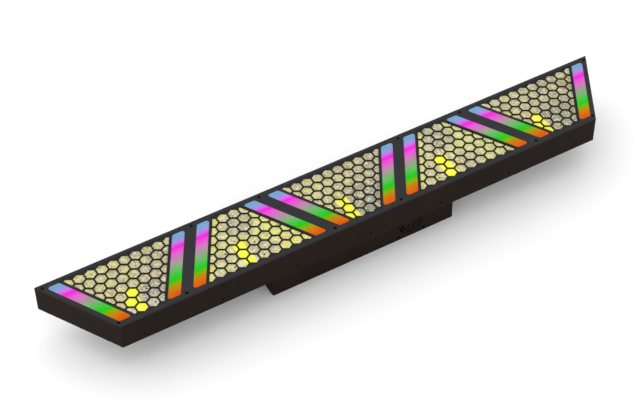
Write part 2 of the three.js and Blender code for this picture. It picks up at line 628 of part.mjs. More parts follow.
// ---------------------------------------------------------------- cooling fan
{
  const y0 = -IY + SEAM,
    y1 = y0 + FAN_DEPTH,
    h = FAN_SIZE / 2;
  let frame = solid(slab(rounded([[-h, -h], [h, -h], [h, h], [-h, h]], 4, 2), 0, FAN_DEPTH).rotateX(Math.PI / 2).translate(FAN_X, y1, Z_FAN));
  frame = frame.subtract(solid(cylY(28.4, y0 - 1, y1 + 1, FAN_X, Z_FAN, 32)));
  const hub = solid(cylY(12, y1 - 2.2, y1, FAN_X, Z_FAN, 20));
  frame = frame.add(hub);
  for (let q = 0; q < 3; q++) {
    const a = Math.PI / 2 + (2 * Math.PI * q) / 3,
      arm = new THREE.BoxGeometry(20, 2, 3.2).translate(20, 0, 0).rotateY(-a).translate(FAN_X, y1 - 1.2, Z_FAN);
    frame = frame.add(solid(arm));
  }
  frame = cutAll(
    frame,
    [-1, 1].flatMap((a) => [-1, 1].map((b) => cylY(1.7, y0 - 1, y1 + 1, FAN_X + a * FAN_HOLE, Z_FAN + b * FAN_HOLE, 8))),
  );
  add("fan_frame", geo(frame), M.plastic);
  // rotor: cup and seven pitched blades, lofted from hub to tip
  const yr0 = y0 + 0.9,
    yr1 = y1 - 2.9;
  let rotor = solid(cylY(12.4, yr0, yr1, FAN_X, Z_FAN, 20));
  for (let q = 0; q < 7; q++) {
    const pos = [],
      idx = [],
      S = 4;
    for (let i = 0; i <= S; i++) {
      const t = i / S,
        rr = 11.6 + t * 15.4,
        pitch = THREE.MathUtils.degToRad(46 - 16 * t),
        sweep = 0.34 * t,
        half = 5.2 + 1.9 * t,
        th = 0.65;
      for (const [c, d] of [[-1, -1], [1, -1], [1, 1], [-1, 1]]) {
        // chord runs round the axis and along it; thickness is square to the chord
        const along = c * half * Math.sin(pitch) + d * th * Math.cos(pitch),
          round = (c * half * Math.cos(pitch) - d * th * Math.sin(pitch)) / rr + sweep + (2 * Math.PI * q) / 7;
        pos.push(FAN_X + rr * Math.cos(round), (yr0 + yr1) / 2 + THREE.MathUtils.clamp(along, -5.3, 5.3), Z_FAN + rr * Math.sin(round));
      }
    }
    for (let i = 0; i < S; i++)
      for (let j = 0; j < 4; j++) {
        const a = 4 * i + j,
          b = 4 * i + ((j + 1) % 4);
        idx.push(a, a + 4, b, b, a + 4, b + 4);
      }
    idx.push(0, 1, 2, 0, 2, 3);
    const e = 4 * S;
    idx.push(e, e + 2, e + 1, e, e + 3, e + 2);
    const g = new THREE.BufferGeometry().setAttribute("position", new THREE.Float32BufferAttribute(pos, 3)).setIndex(idx);
    let b = solid(g);
    if (b.volume() < 0) {
      const flipped = [];
      for (let i = 0; i < idx.length; i += 3) flipped.push(idx[i], idx[i + 2], idx[i + 1]);
      b = solid(new THREE.BufferGeometry().setAttribute("position", new THREE.Float32BufferAttribute(pos, 3)).setIndex(flipped));
    }
    rotor = rotor.add(b);
  }
  add("fan_rotor", geo(rotor), M.plastic);
}

export default root;
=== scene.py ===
"""Looks for the LED strip batten: materials, small fittings, floor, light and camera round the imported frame."""

import math

import bmesh
import bpy
from mathutils import Matrix, Vector


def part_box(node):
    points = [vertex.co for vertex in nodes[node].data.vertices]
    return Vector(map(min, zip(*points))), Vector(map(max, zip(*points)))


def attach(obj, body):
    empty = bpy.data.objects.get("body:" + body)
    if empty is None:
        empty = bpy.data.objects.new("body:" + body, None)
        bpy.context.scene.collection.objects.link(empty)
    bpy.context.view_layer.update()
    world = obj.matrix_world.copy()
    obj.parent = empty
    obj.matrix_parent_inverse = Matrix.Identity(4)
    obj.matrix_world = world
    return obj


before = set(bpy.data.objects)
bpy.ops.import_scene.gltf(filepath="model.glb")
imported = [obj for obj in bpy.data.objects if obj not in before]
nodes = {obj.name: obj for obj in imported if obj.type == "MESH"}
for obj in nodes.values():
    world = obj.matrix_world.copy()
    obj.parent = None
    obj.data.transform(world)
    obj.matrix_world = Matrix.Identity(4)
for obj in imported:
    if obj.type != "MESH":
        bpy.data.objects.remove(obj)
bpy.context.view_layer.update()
BODY = "housing"

# ------------------------------------------------------------------ dimensions read off the frame
Z_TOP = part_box("face_plate")[1][2]
Z_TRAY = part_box("rear_cover")[0][2]
HALF_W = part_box("face_plate")[1][1]
BOX_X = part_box("driver_box")[1][0]
BOX_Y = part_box("driver_box")[1][1]
T30 = math.tan(math.radians(30))
C30 = math.cos(math.radians(30))
MID_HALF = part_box("face_plate")[1][0] - HALF_W * T30
fan_lo, fan_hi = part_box("fan_frame")
FAN_X = (fan_lo[0] + fan_hi[0]) / 2
FAN_Z = (fan_lo[2] + fan_hi[2]) / 2
Z_SIDE = Z_TOP - 0.041
PITCH = 0.02005


def lin(r, g, b):
    """sRGB 0-255 to linear."""
    return tuple(
        (c / 255 / 12.92) if c / 255 <= 0.04045 else ((c / 255 + 0.055) / 1.055) ** 2.4
        for c in (r, g, b)
    )


# ------------------------------------------------------------------ node helpers
class Nodes:
    """Short names for building one material's node tree."""

    def __init__(self, name):
        self.mat = bpy.data.materials.new(name)
        self.mat.use_nodes = True
        self.t = self.mat.node_tree
        self.t.nodes.clear()
        self.out = self.t.nodes.new("ShaderNodeOutputMaterial")
        self.p = self.t.nodes.new("ShaderNodeBsdfPrincipled")
        self.t.links.new(self.p.outputs[0], self.out.inputs[0])
        tc = self.t.nodes.new("ShaderNodeTexCoord")
        self.co = tc.outputs["Object"]
        sep = self.t.nodes.new("ShaderNodeSeparateXYZ")
        self.t.links.new(self.co, sep.inputs[0])
        self.x, self.y, self.z = sep.outputs

    def put(self, socket, v):
        if hasattr(v, "links"):
            self.t.links.new(v, socket)
        elif isinstance(v, (tuple, list)) and len(v) == 3 and socket.type == "RGBA":
            socket.default_value = (*v, 1)
        else:
            socket.default_value = v

    def math(self, op, a, b=None, c=None, clamp=False):
        n = self.t.nodes.new("ShaderNodeMath")
        n.operation = op
        n.use_clamp = clamp
        for i, v in enumerate((a, b, c)):
            if v is not None:
                self.put(n.inputs[i], v)
        return n.outputs[0]

    def noise(self, scale, detail=2.0, rough=0.5, co=None, dims="3D"):
        n = self.t.nodes.new("ShaderNodeTexNoise")
        n.noise_dimensions = dims
        n.inputs["Scale"].default_value = scale
        n.inputs["Detail"].default_value = detail
        n.inputs["Roughness"].default_value = rough
        self.t.links.new(co or self.co, n.inputs["Vector"])
        return n.outputs[0]

    def voronoi(self, scale, randomness=1.0, feature="F1", co=None):
        n = self.t.nodes.new("ShaderNodeTexVoronoi")
        n.feature = feature
        n.inputs["Scale"].default_value = scale
        n.inputs["Randomness"].default_value = randomness
        self.t.links.new(co or self.co, n.inputs["Vector"])
        return n

    def split(self, colour):
        n = self.t.nodes.new("ShaderNodeSeparateColor")
        self.t.links.new(colour, n.inputs[0])
        return n.outputs

    def step(self, v, lo, hi, a=0.0, b=1.0, smooth=True):
        n = self.t.nodes.new("ShaderNodeMapRange")
        n.interpolation_type = "SMOOTHSTEP" if smooth else "LINEAR"
        n.clamp = True
        self.put(n.inputs["Value"], v)
        n.inputs["From Min"].default_value = lo
        n.inputs["From Max"].default_value = hi
        n.inputs["To Min"].default_value = a
        n.inputs["To Max"].default_value = b
        return n.outputs[0]

    def mix(self, f, a, b, blend="MIX"):
        n = self.t.nodes.new("ShaderNodeMix")
        n.data_type = "RGBA"
        n.blend_type = blend
        self.put(n.inputs[0], f)
        self.put(n.inputs[6], a)
        self.put(n.inputs[7], b)
        return n.outputs[2]

    def ramp(self, f, stops):
        n = self.t.nodes.new("ShaderNodeValToRGB")
        r = n.color_ramp
        r.interpolation = "LINEAR"
        while len(r.elements) < len(stops):
            r.elements.new(0.5)
        for e, (pos, col) in zip(r.elements, stops):
            e.position = pos
            e.color = (*col, 1)
        self.put(n.inputs[0], f)
        return n.outputs[0]

    def bump(self, height, strength, distance, normal=None):
        n = self.t.nodes.new("ShaderNodeBump")
        n.inputs["Strength"].default_value = strength
        n.inputs["Distance"].default_value = distance
        self.put(n.inputs["Height"], height)
        if normal is not None:
            self.t.links.new(normal, n.inputs["Normal"])
        return n.outputs[0]

    def set(self, **kw):
        for k, v in kw.items():
            self.put(self.p.inputs[k.replace("_", " ")], v)
        return self.mat

    # distance helpers
    def absx(self):
        return self.math("ABSOLUTE", self.x)

    def absy(self):
        return self.math("ABSOLUTE", self.y)


# ------------------------------------------------------------------ materials
def tray_edge(n):
    """Distance to the tray's nearest sharp edge, the same formula on every face."""
    d1 = n.math("SUBTRACT", HALF_W, n.absy())
    d2 = n.math(
        "MULTIPLY",
        n.math("SUBTRACT", n.math("MULTIPLY_ADD", n.y, T30, MID_HALF), n.absx()),
        C30,
    )
    d = n.math("MINIMUM", d1, d2)
    zt = n.math("SUBTRACT", Z_TOP, n.z)
    zb = n.math("SUBTRACT", n.z, Z_TRAY)
    return n.math(
        "MINIMUM",
        n.math("MINIMUM", n.math("ADD", d, zt), n.math("ADD", d, zb)),
        n.math("ADD", d1, d2),
    )


def box_edge(n):
    d1 = n.math("SUBTRACT", BOX_Y, n.absy())
    d2 = n.math("SUBTRACT", BOX_X, n.absx())
    return n.math(
        "MINIMUM",
        n.math("ADD", n.math("MINIMUM", d1, d2), n.z),
        n.math("ADD", d1, d2),
    )


def powder(name, base, edge=None, rough=0.52, edge_wear_and_highlight=(0.13, 0.125, 0.12), dust=0.35, spec=0.2):
    """Fine powder coat: orange-peel bump, cloudy tone, dust on level faces, rubbed edges that are lighter partly from
    wear and partly as a painted highlight.
    """
    n = Nodes(name)
    fine = n.noise(1500, 3, 0.6)
    peel = n.noise(420, 2, 0.5)
    cloud = n.noise(14, 4, 0.6)
    dark = tuple(c * 0.84 for c in base)
    light = tuple(c * 1.18 for c in base)
    col = n.mix(n.step(cloud, 0.3, 0.7), dark, light)
    col = n.mix(n.step(fine, 0.58, 0.75, 0, 0.35), col, tuple(c * 1.7 for c in base))
    geo = n.t.nodes.new("ShaderNodeNewGeometry")
    up = n.t.nodes.new("ShaderNodeSeparateXYZ")
    n.t.links.new(geo.outputs["Normal"], up.inputs[0])
    specks = n.math(
        "MULTIPLY",
        n.step(up.outputs[2], 0.7, 0.98),
        n.step(n.noise(260, 4, 0.7), 0.6, 0.74, 0, dust),
    )
    col = n.mix(specks, col, (0.16, 0.155, 0.15))
    r = n.math("ADD", n.step(cloud, 0.25, 0.75, rough - 0.06, rough + 0.06), n.step(fine, 0.4, 0.7, 0, 0.06))
    # edges: a lighter band, partly worn paint and partly a painted highlight where the edge would catch the light
    if edge is not None:
        e = n.math("ADD", edge(n), n.math("MULTIPLY", n.noise(90, 4, 0.6), 0.0016))
        w = n.math("MULTIPLY", n.step(e, 0.0011, 0.0016, 1, 0), n.step(n.noise(25, 3), 0.4, 0.62, 0.15, 0.8))
        col = n.mix(w, col, edge_wear_and_highlight)
        r = n.math("SUBTRACT", r, n.math("MULTIPLY", w, 0.12))
    h = n.math("ADD", n.math("MULTIPLY", peel, 0.7), n.math("MULTIPLY", fine, 0.3))
    return n.set(
        Base_Color=col,
        Roughness=r,
        Metallic=0.0,
        IOR=1.45,
        Specular_IOR_Level=spec,
        Normal=n.bump(h, 0.22, 0.00025),
    )


def moulded(name, base, rough=0.42, scale=900, bump=0.18, var=0.16, spec=0.35):
    """Spark-eroded moulded plastic."""
    n = Nodes(name)
    grain = n.noise(scale, 3, 0.65)
    cloud = n.noise(scale / 30, 3)
    col = n.mix(
        n.step(cloud, 0.3, 0.7), tuple(c * (1 - var) for c in base), tuple(c * (1 + var) for c in base)
    )
    col = n.mix(n.step(grain, 0.55, 0.75, 0, 0.3), col, tuple(min(1, c * 1.5) for c in base))
    return n.set(
        Base_Color=col,
        Roughness=n.math("ADD", n.step(cloud, 0.3, 0.7, rough - 0.05, rough + 0.05), n.step(grain, 0.3, 0.7, -0.03, 0.05)),
        Specular_IOR_Level=spec,
        Normal=n.bump(grain, bump, 0.0002),
    )


def metal(name, base, rough=0.32, scale=(60, 900, 60), bump=0.12):
    """Drawn or turned metal with fine lines."""
    n = Nodes(name)
    m = n.t.nodes.new("ShaderNodeMapping")
    m.inputs["Scale"].default_value = scale
    n.t.links.new(n.co, m.inputs["Vector"])
    lines = n.noise(1.0, 4, 0.6, co=m.outputs[0])
    cloud = n.noise(45, 3)
    col = n.mix(n.step(cloud, 0.3, 0.7), tuple(c * 0.85 for c in base), tuple(min(1, c * 1.1) for c in base))
    col = n.mix(n.step(lines, 0.5, 0.7, 0, 0.25), col, tuple(c * 0.6 for c in base))
    return n.set(
        Base_Color=col,
        Metallic=1.0,
        Roughness=n.math("ADD", n.step(lines, 0.3, 0.7, rough - 0.06, rough + 0.08), n.step(cloud, 0.3, 0.7, -0.03, 0.05)),
        Normal=n.bump(lines, bump, 0.0001),
    )


# pixel strips: an opal cover lit from below, one colour run from the long edge to the short one
STRIP_RUN = [
    (-0.0610, lin(224, 84, 0)),
    (-0.0500, lin(216, 108, 0)),
    (-0.0420, lin(190, 138, 4)),
    (-0.0350, lin(134, 173, 4)),
    (-0.0300, lin(62, 195, 6)),
    (-0.0265, lin(28, 204, 16)),
    (-0.0200, lin(57, 200, 54)),
    (-0.0100, lin(106, 187, 100)),
    (0.0000, lin(152, 165, 136)),
    (0.0100, lin(190, 137, 172)),
    (0.0200, lin(224, 102, 204)),
    (0.0300, lin(250, 50, 226)),
    (0.0335, lin(238, 38, 216)),
    (0.0390, lin(218, 98, 234)),
    (0.0440, lin(174, 138, 222)),
    (0.0500, lin(132, 160, 214)),
    (0.0540, lin(120, 165, 208)),
    (0.0610, lin(118, 166, 202)),
]


def strip_cover(name, base_glow_share=0.30, glow=0.66):
    n = Nodes(name)
    y0, y1 = STRIP_RUN[0][0], STRIP_RUN[-1][0]
    row = 0.00355  # one line of pixels
    stepped = n.math("MULTIPLY", n.math("FLOOR", n.math("DIVIDE", n.y, row)), row)
    yy = n.math("ADD", n.math("MULTIPLY", n.y, 0.55), n.math("MULTIPLY", n.math("ADD", stepped, row / 2), 0.45))
    run = n.ramp(n.step(yy, y0, y1, smooth=False), [((y - y0) / (y1 - y0), c) for y, c in STRIP_RUN])
    frac = n.math("FRACT", n.math("DIVIDE", n.y, row))
    line = n.step(n.math("ABSOLUTE", n.math("SUBTRACT", frac, 0.5)), 0.36, 0.5, 1.0, 0.9)
    speck = n.step(n.noise(900, 2), 0.3, 0.7, 0.94, 1.06)
    patchy = n.step(n.noise(60, 2), 0.3, 0.7, 0.95, 1.05)
    k = n.math("MULTIPLY", n.math("MULTIPLY", line, speck), patchy)
    scale = n.t.nodes.new("ShaderNodeVectorMath")
    scale.operation = "SCALE"
    n.t.links.new(run, scale.inputs[0])
    n.t.links.new(k, scale.inputs["Scale"])
    lit = scale.outputs[0]
    # painted glow: the LED colour run is also painted into the opal cover's own base colour, besides its emission
    base = n.mix(1.0, lit, (base_glow_share,) * 3, "MULTIPLY")
    glowc = n.mix(1.0, lit, (glow,) * 3, "MULTIPLY")
    return n.set(
        Base_Color=base,
        Emission_Color=glowc,
        Emission_Strength=1.0,
        Specular_IOR_Level=0.05,
        Roughness=n.step(n.noise(300, 3), 0.3, 0.7, 0.38, 0.5),
        Normal=n.bump(n.noise(700, 2), 0.06, 0.0002),
    )


# cell sheets: prismatic speckle over reflector and emitters; every zone has its own run of tone from
# left to right, a phosphor bar, fixing pips and pools of a duller or warmer tone
CREAM, STRAW, STONE = (224, 217, 152), (240, 243, 116), (182, 172, 150)
ZONES = [
    # centre, left tone, right tone, bar x0, x1, pips (x, y), pools (x, y, radius, tone)
    (-0.400, CREAM, (190, 180, 152), -1.04, -0.25, [(0.69, -1.02), (0.69, -2.63)], [(1.1, -1.6, 1.15, (160, 161, 156)), (-1.7, -2.6, 0.6, (238, 238, 218)), (0.7, -2.5, 0.6, (208, 206, 192))]),
    (-0.200, (206, 203, 160), STRAW, -1.31, -0.38, [(-2.21, -1.02), (-2.21, -2.63), (0.48, -1.02), (0.48, -2.63)], [(0.3, 1.3, 1.3, (170, 163, 146)), (0.85, -1.95, 1.1, (194, 175, 152)), (-1.1, -2.75, 0.95, (236, 230, 204))]),
    (0.000, CREAM, STONE, -1.55, -0.57, [(0.26, -1.02), (0.26, -2.63)], [(0.9, -1.5, 1.7, (152, 151, 142))]),
    (0.200, (202, 194, 155), (222, 225, 142), -1.87, -0.80, [(-2.66, -1.02), (-2.66, -2.63)], [(-0.1, 1.7, 1.3, (160, 157, 142)), (0.8, -2.1, 1.15, (200, 182, 154))]),
    (0.400, (217, 212, 160), (170, 160, 144), -2.00, -1.00, [(-0.2, -1.02), (-0.2, -2.63)], [(0.5, -1.7, 1.9, (155, 154, 143))]),
]


def cell_sheet(k, glow=0.16):
    cx, left, right, b0, b1, pips, pools = ZONES[k]
    gain = (0.635, 0.695, 0.625, 0.685, 0.63)[k]
    dull = 0.34 if k in (1, 3) else 0.62
    n = Nodes("cell_sheet_%d" % (k + 1))
    vo = n.voronoi(360)
    v = n.split(vo.outputs["Color"])
    fine = n.voronoi(820)
    fleck = n.split(fine.outputs["Color"])
    warp = n.math("MULTIPLY", n.math("SUBTRACT", n.noise(38, 3, 0.6), 0.5), 0.11)
    u = n.math("ADD", n.math("SUBTRACT", n.x, cx), warp)
    col = n.mix(n.step(u, -0.055, 0.05), lin(*left), lin(*right))

    def reach(px, py):
        dx = n.math("SUBTRACT", n.x, cx + px * PITCH)
        dy = n.math("SUBTRACT", n.y, py * PITCH)
        return n.math("SQRT", n.math("ADD", n.math("MULTIPLY", dx, dx), n.math("MULTIPLY", dy, dy)))

    # broad drifts of tone, two or three cells wide
    warm = (236, 236, 104) if k in (1, 3) else (236, 228, 134)
    if k in (1, 3):
        # the half cells along the left edge catch the yellow of the emitters
        lean = n.math("MULTIPLY", n.y, math.tan(math.pi / 6))
        rim = n.math("ADD", n.math("SUBTRACT", cx, n.x), lean)
        col = n.mix(n.step(rim, 0.0500, 0.0530, 0, 0.85), col, lin(242, 244, 118))
    col = n.mix(n.step(n.noise(44, 2, 0.4), 0.46, 0.62, 0, 0.62), col, lin(*warm))
    col = n.mix(n.step(n.noise(63, 2, 0.4), 0.50, 0.66, 0, 0.60), col, lin(186, 168, 152))
    wobble = n.math("MULTIPLY", n.math("SUBTRACT", n.noise(55, 3), 0.5), 0.024)
    for px, py, pr, tone in pools:
        m = n.step(n.math("ADD", reach(px, py), wobble), pr * PITCH * 0.8, pr * PITCH * 1.25, 0.92, 0)
        col = n.mix(m, col, lin(*tone))
    # phosphor bar
    ex = n.math("MULTIPLY", n.step(n.x, cx + b0 * PITCH - 0.0006, cx + b0 * PITCH + 0.0006), n.step(n.x, cx + b1 * PITCH - 0.0006, cx + b1 * PITCH + 0.0006, 1, 0))
    ey = n.math("MULTIPLY", n.step(n.y, -3.06 * PITCH, -3.0 * PITCH), n.step(n.y, -0.38 * PITCH, -0.32 * PITCH, 1, 0))
    bar = n.math("MULTIPLY", ex, ey)
    if k == 0:
        # here the emitters light three whole cells
        for px, py in ((-0.5, -0.866), (-1.0, -1.732), (-0.5, -2.598)):
            bar = n.math("MAXIMUM", bar, n.step(reach(px, py), 0.56 * PITCH, 0.58 * PITCH, 1, 0))
    col = n.mix(bar, col, lin(250, 248, 12))
    # facets: bright, dull, yellow and dark ones, weaker on the bar
    body = n.math("SUBTRACT", 1.0, n.math("MULTIPLY", bar, 0.75))
    col = n.mix(n.math("MULTIPLY", n.step(v[0], 0.62, 0.9, 0, 0.8), body), col, lin(246, 243, 216))
    col = n.mix(n.math("MULTIPLY", n.step(v[1], 0.60, 0.9, 0, dull), body), col, lin(156, 146, 112))
    yellow = 0.75 if k in (1, 3) else 0.5
    col = n.mix(n.step(v[2], 0.74, 0.92, 0, yellow), col, lin(236, 232, 76))
    col = n.mix(n.math("MULTIPLY", n.step(fleck[0], 0.78, 0.95, 0, 0.6), body), col, lin(112, 102, 74))
    col = n.mix(n.math("MULTIPLY", n.step(fleck[1], 0.86, 0.96, 0, 0.7), body), col, lin(255, 253, 236))
    # fixing pips
    pip = None
    for px, py in pips:
        m = n.step(reach(px, py), 0.0013, 0.0021, 1, 0)
        pip = m if pip is None else n.math("MAXIMUM", pip, m)
    col = n.mix(pip, col, (0.010, 0.009, 0.008))
    facet = n.math("ADD", vo.outputs["Distance"], n.math("MULTIPLY", fine.outputs["Distance"], 0.5))
    share = n.mix(bar, (glow,) * 3, (0.36, 0.36, 0.36))
    return n.set(
        Base_Color=n.mix(1.0, col, (gain,) * 3, "MULTIPLY"),
        Emission_Color=n.mix(1.0, col, share, "MULTIPLY"),
        Emission_Strength=1.0,
        Specular_IOR_Level=0.25,
        Roughness=n.step(v[2], 0.0, 1.0, 0.25, 0.5),
        Normal=n.bump(facet, 0.4, 0.0008),
    )


def board(name, base, trace, scale=160):
    """Solder mask with faint copper runs."""
    n = Nodes(name)
    vo = n.voronoi(scale, 0.15)
    runs = n.step(n.math("ABSOLUTE", n.math("SUBTRACT", n.math("FRACT", n.math("MULTIPLY", n.x, scale * 2.3)), 0.5)), 0.36, 0.42)
    col = n.mix(n.math("MULTIPLY", runs, n.step(n.noise(30, 2), 0.45, 0.55, 0, 0.5)), base, trace)
    col = n.mix(n.step(vo.outputs["Distance"], 0.06, 0.1, 0.7, 0), col, (0.5, 0.48, 0.42))
    return n.set(
        Base_Color=col,
        Roughness=n.step(n.noise(300, 2), 0.3, 0.7, 0.34, 0.5),
        Normal=n.bump(n.math("ADD", runs, n.noise(900, 2)), 0.08, 0.0001),
    )


def window(name):
    """Smoked window with a soft status panel glowing behind it: plain bars, no characters."""
    n = Nodes(name)
    lo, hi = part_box("display_window")
    u = n.step(n.x, lo[0], hi[0], smooth=False)
    v = n.step(n.z, lo[2], hi[2], smooth=False)
    inside = n.math(
        "MULTIPLY",
        n.math("MULTIPLY", n.step(u, 0.08, 0.09), n.step(u, 0.91, 0.92, 1, 0)),
        n.math("MULTIPLY", n.step(v, 0.14, 0.16), n.step(v, 0.84, 0.86, 1, 0)),
    )
    rows = n.step(n.math("ABSOLUTE", n.math("SUBTRACT", n.math("FRACT", n.math("MULTIPLY", v, 4.0)), 0.5)), 0.2, 0.24, 1, 0)
    # one level bar a row, each of its own length
    index = n.math("FLOOR", n.math("MULTIPLY", v, 4.0))
    length = n.math("ADD", 0.34, n.math("MULTIPLY", n.math("FRACT", n.math("ADD", n.math("MULTIPLY", index, 0.38), 0.15)), 0.5))
    bars = n.math("MULTIPLY", rows, n.math("MULTIPLY", n.step(u, 0.14, 0.15), n.math("LESS_THAN", u, length)))
    glow = n.math("MULTIPLY", inside, n.math("ADD", 0.25, n.math("MULTIPLY", bars, 0.6)))
    col = n.mix(inside, (0.008, 0.009, 0.012), (0.01, 0.035, 0.12))
    return n.set(
        Base_Color=col,
        Emission_Color=n.mix(bars, (0.03, 0.14, 0.6), (0.55, 0.8, 1.0)),
        Emission_Strength=glow,
        Roughness=n.step(n.noise(120, 3), 0.3, 0.7, 0.08, 0.18),
        Coat_Weight=0.5,
        Normal=n.bump(n.noise(500, 2), 0.02, 0.0001),
    )


face_coat = powder("face_coat", (0.0178, 0.0180, 0.0208), tray_edge, 0.55)
# painted shade: the rails, end plates and driver box get a darker, browner copy of the face plate's black coat,
# standing for faces turned away from the overhead light
side_coat = powder("side_coat", (0.0128, 0.0074, 0.0052), tray_edge, 0.6, edge_wear_and_highlight=(0.026, 0.020, 0.017), dust=0.2, spec=0.07)
shaded_box_coat = powder("shaded_box_coat", (0.0128, 0.0074, 0.0052), box_edge, 0.6, edge_wear_and_highlight=(0.026, 0.020, 0.017), dust=0.2, spec=0.07)
cover_coat = powder("cover_coat", (0.0150, 0.0100, 0.0075), None, 0.6, spec=0.1)


def grid_coat(name):
    """Honeycomb insert: dark webs tinted warm brown as painted shade and painted spill of the cells' yellow light, and
    a rim coated like the face plate.
    """
    n = Nodes(name)
    turn = n.math("ROUND", n.math("DIVIDE", n.x, 0.2))
    u = n.math("ABSOLUTE", n.math("SUBTRACT", n.x, n.math("MULTIPLY", turn, 0.2)))
    w = n.math("COSINE", n.math("MULTIPLY", turn, math.pi))
    lean = n.math("MULTIPLY", n.math("MULTIPLY", w, n.y), math.tan(math.pi / 6))
    rim = n.math("MAXIMUM", n.step(n.absy(), 0.0562, 0.0574), n.step(n.math("SUBTRACT", u, lean), 0.0608, 0.0616))
    grain = n.noise(1100, 3, 0.6)
    var = n.step(n.noise(46, 3), 0.3, 0.7, 0.86, 1.14)
    # painted shade and spill: the webs are darkened and warmed toward brown as if shaded and lit yellow by the cells
    web_shade_and_spill = n.mix(1.0, (0.0118, 0.0082, 0.0026), var, "MULTIPLY")
    coat = n.mix(1.0, (0.0165, 0.0166, 0.0190), var, "MULTIPLY")
    return n.set(
        Base_Color=n.mix(rim, web_shade_and_spill, coat),
        Roughness=n.step(n.noise(240, 3), 0.3, 0.7, 0.5, 0.62),
        Metallic=0.0,
        IOR=1.45,
        Specular_IOR_Level=0.1,
        Normal=n.bump(grain, 0.12, 0.0002),
    )


grid_black = grid_coat("grid_black")
screw_black = moulded("screw_black", (0.0040, 0.0037, 0.0036), 0.6, 1500, 0.15, spec=0.05)
strip_opal = strip_cover("strip_opal")
carrier = metal("carrier_metal", (0.62, 0.63, 0.65), 0.3)
supply = metal("supply_case", (0.55, 0.56, 0.58), 0.36, (900, 60, 60))
insert = metal("insert_steel", (0.55, 0.54, 0.5), 0.28, (60, 60, 900))
led_white = board("led_board_white", (0.78, 0.77, 0.7), (0.62, 0.6, 0.52))
pcb_green = board("control_board_green", (0.02, 0.12, 0.045), (0.05, 0.22, 0.09))
glass = window("display_glass")
button = moulded("button_grey", (0.26, 0.27, 0.285), 0.38, 1300, 0.1)
socket_black = moulded("socket_black", (0.016, 0.016, 0.017), 0.4)
fan_black = moulded("fan_black", (0.012, 0.012, 0.0125), 0.38, 700, 0.2)
brass = metal("contact_brass", (0.72, 0.53, 0.22), 0.22, (900, 60, 60), 0.1)
nickel = metal("shell_nickel", (0.58, 0.57, 0.54), 0.22, (60, 900, 60), 0.1)
lock_blue = moulded("lock_blue", (0.02, 0.09, 0.36), 0.35, 1200, 0.1)
lock_grey = moulded("lock_grey", (0.42, 0.43, 0.45), 0.35, 1200, 0.1)


def paint(node, mat):
    ob = nodes[node]
    if not ob.material_slots:
        ob.data.materials.append(mat)
    for s in ob.material_slots:
        s.material = mat


for name in nodes:
    if name == "face_plate":
        paint(name, face_coat)
    elif name.startswith("honeycomb_grid"):
        paint(name, grid_black)
    elif name.startswith("face_screw"):
        paint(name, screw_black)
    elif name.startswith("zone_lens_"):
        paint(name, cell_sheet(int(name[-1]) - 1))
    elif name.startswith("led_board"):
        paint(name, led_white)
    elif name.startswith("strip_diffuser"):
        paint(name, strip_opal)
    elif name in ("front_rail", "back_rail", "left_end_plate", "right_end_plate"):
        paint(name, side_coat)
    elif name == "rear_cover":
        paint(name, cover_coat)
    elif name == "driver_box":
        paint(name, shaded_box_coat)
    elif name == "led_carrier":
        paint(name, carrier)
    elif name == "power_supply":
        paint(name, supply)
    elif name.startswith("rigging"):
        paint(name, insert)
    elif name == "control_board":
        paint(name, pcb_green)
    elif name == "display_window":
        paint(name, glass)
    elif name.startswith("menu_button"):
        paint(name, button)
    elif name.startswith(("power_", "data_")):
        paint(name, socket_black)
    else:
        paint(name, fan_black)


# ------------------------------------------------------------------ small fittings
def finish_mesh(name, bm, mat, body=BODY, smooth=True):
    bmesh.ops.recalc_face_normals(bm, faces=bm.faces)
    me = bpy.data.meshes.new(name)
    bm.to_mesh(me)
    bm.free()
    me.materials.append(mat)
    ob = bpy.data.objects.new(name, me)
    bpy.context.scene.collection.objects.link(ob)
    if smooth:
        for p in me.polygons:
            p.use_smooth = True
        me.set_sharp_from_angle(angle=math.radians(32))
    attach(ob, body)
    return ob


def spun(bm, profile, seg=24, place=Matrix.Identity(4)):
    """Closed surface of revolution about local Z. profile: (radius, z, 'c' or 'h' for round or hexagonal)."""
    rings = []
    for r, z, kind in profile:
        if r <= 1e-9:
            rings.append([bm.verts.new(place @ Vector((0, 0, z)))])
            continue
        ring = []
        for i in range(seg):
            a = 2 * math.pi * i / seg
            rr = r
            if kind == "h":
                rr = r * math.cos(math.pi / 6) / math.cos((a % (math.pi / 3)) - math.pi / 6)
            ring.append(bm.verts.new(place @ Vector((rr * math.cos(a), rr * math.sin(a), z))))
        rings.append(ring)
    for a, b in zip(rings, rings[1:]):
        for i in range(seg):
            j = (i + 1) % seg
            if len(a) == 1 and len(b) == 1:
                continue
            if len(a) == 1:
                bm.faces.new((a[0], b[i], b[j]))
            elif len(b) == 1:
                bm.faces.new((a[i], a[j], b[0]))
            else:
                bm.faces.new((a[i], a[j], b[j], b[i]))


def at(x, y, z, out="-y"):
    """Local +Z points out of the face."""
    turn = {
        "-y": Matrix.Rotation(math.radians(90), 4, "X"),
        "+y": Matrix.Rotation(math.radians(-90), 4, "X"),
        "+z": Matrix.Identity(4),
        "-z": Matrix.Rotation(math.radians(180), 4, "X"),
    }[out]
    return Matrix.Translation((x, y, z)) @ turn


def button_screw(name, place, r=0.003, h=0.0013, mat=None):
    bm = bmesh.new()
    prof = [(0, 0.0000, "c"), (r, 0.0, "c"), (r, h * 0.25, "c")]
    for i in range(1, 6):
        a = i / 6 * math.pi / 2
        prof.append((r * (0.58 + 0.42 * math.cos(a)), h * (0.25 + 0.75 * math.sin(a)), "c"))
    prof += [(r * 0.58, h, "c"), (r * 0.5, h, "h"), (r * 0.46, h * 0.3, "h"), (0, h * 0.22, "c")]
    spun(bm, prof, 24, place)
    return finish_mesh(name, bm, mat or screw_black)


